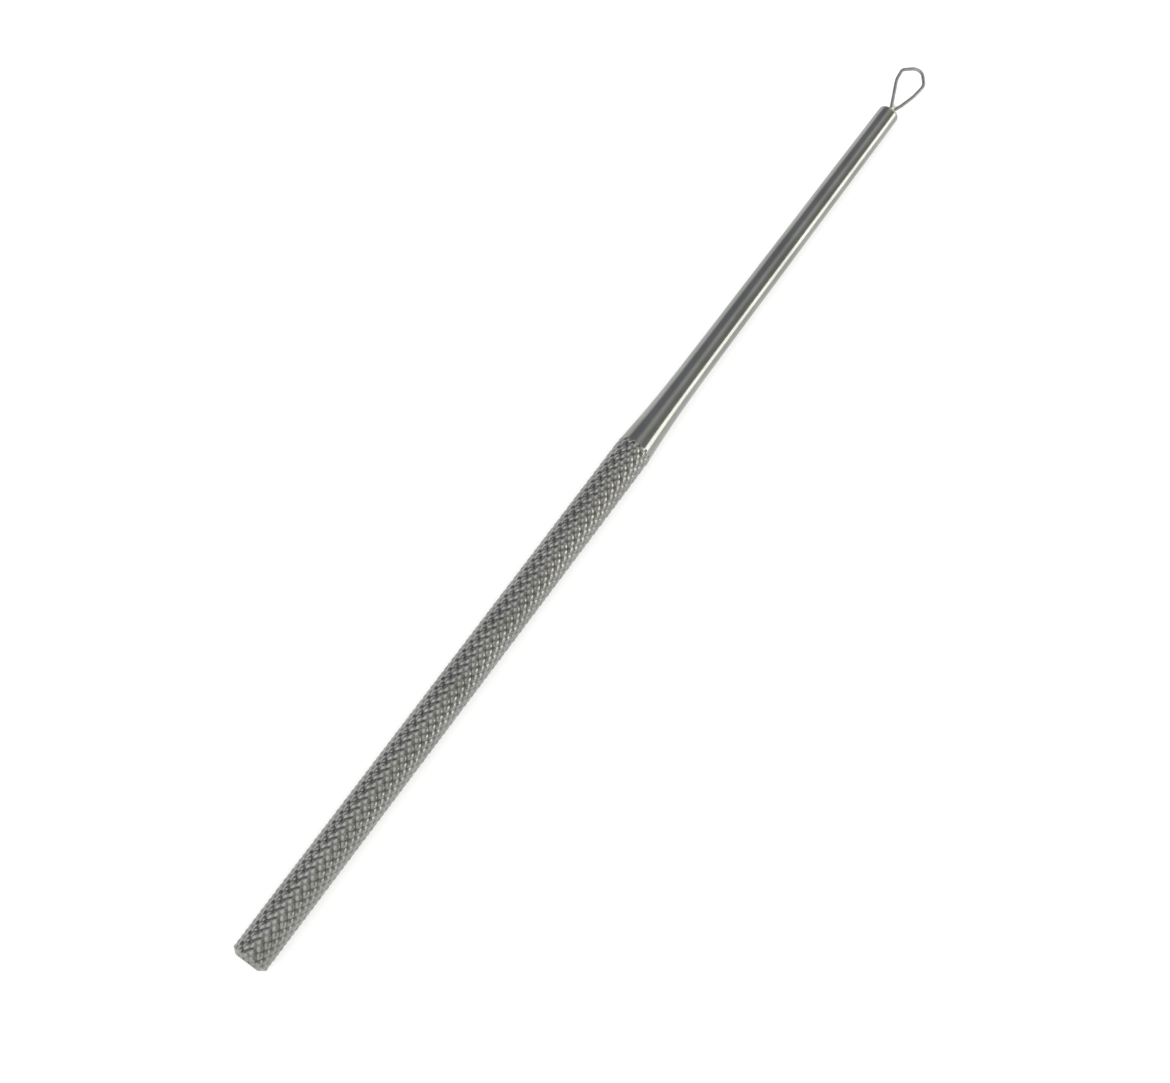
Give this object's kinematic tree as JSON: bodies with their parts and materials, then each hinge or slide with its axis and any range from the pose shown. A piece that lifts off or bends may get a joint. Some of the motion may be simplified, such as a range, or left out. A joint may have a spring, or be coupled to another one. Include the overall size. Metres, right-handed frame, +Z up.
{
  "type": "wire loop hand tool",
  "caption": "Slim steel hand tool: knurled round handle, long tapered shank and a small flat wire loop brazed into its tip.",
  "frame": {"origin": "on the surface that the tool lies on, below the middle of its length and on its axis", "axes": "+X along the tool towards the loop, +Y across the loop's plane, +Z up, square to the loop's plane"},
  "size_m": [0.16, 0.0052, 0.0052],
  "materials": {
    "bar_steel": "satin stainless, knurled handle and smoothly turned shank",
    "wire_steel": "drawn stainless spring wire",
    "braze": "pale silver braze, slightly dull"
  },
  "bodies": {
    "root": {"handle_shank": "bar_steel", "wire_loop": "wire_steel", "braze_fillet": "braze"}
  },
  "joints": []
}
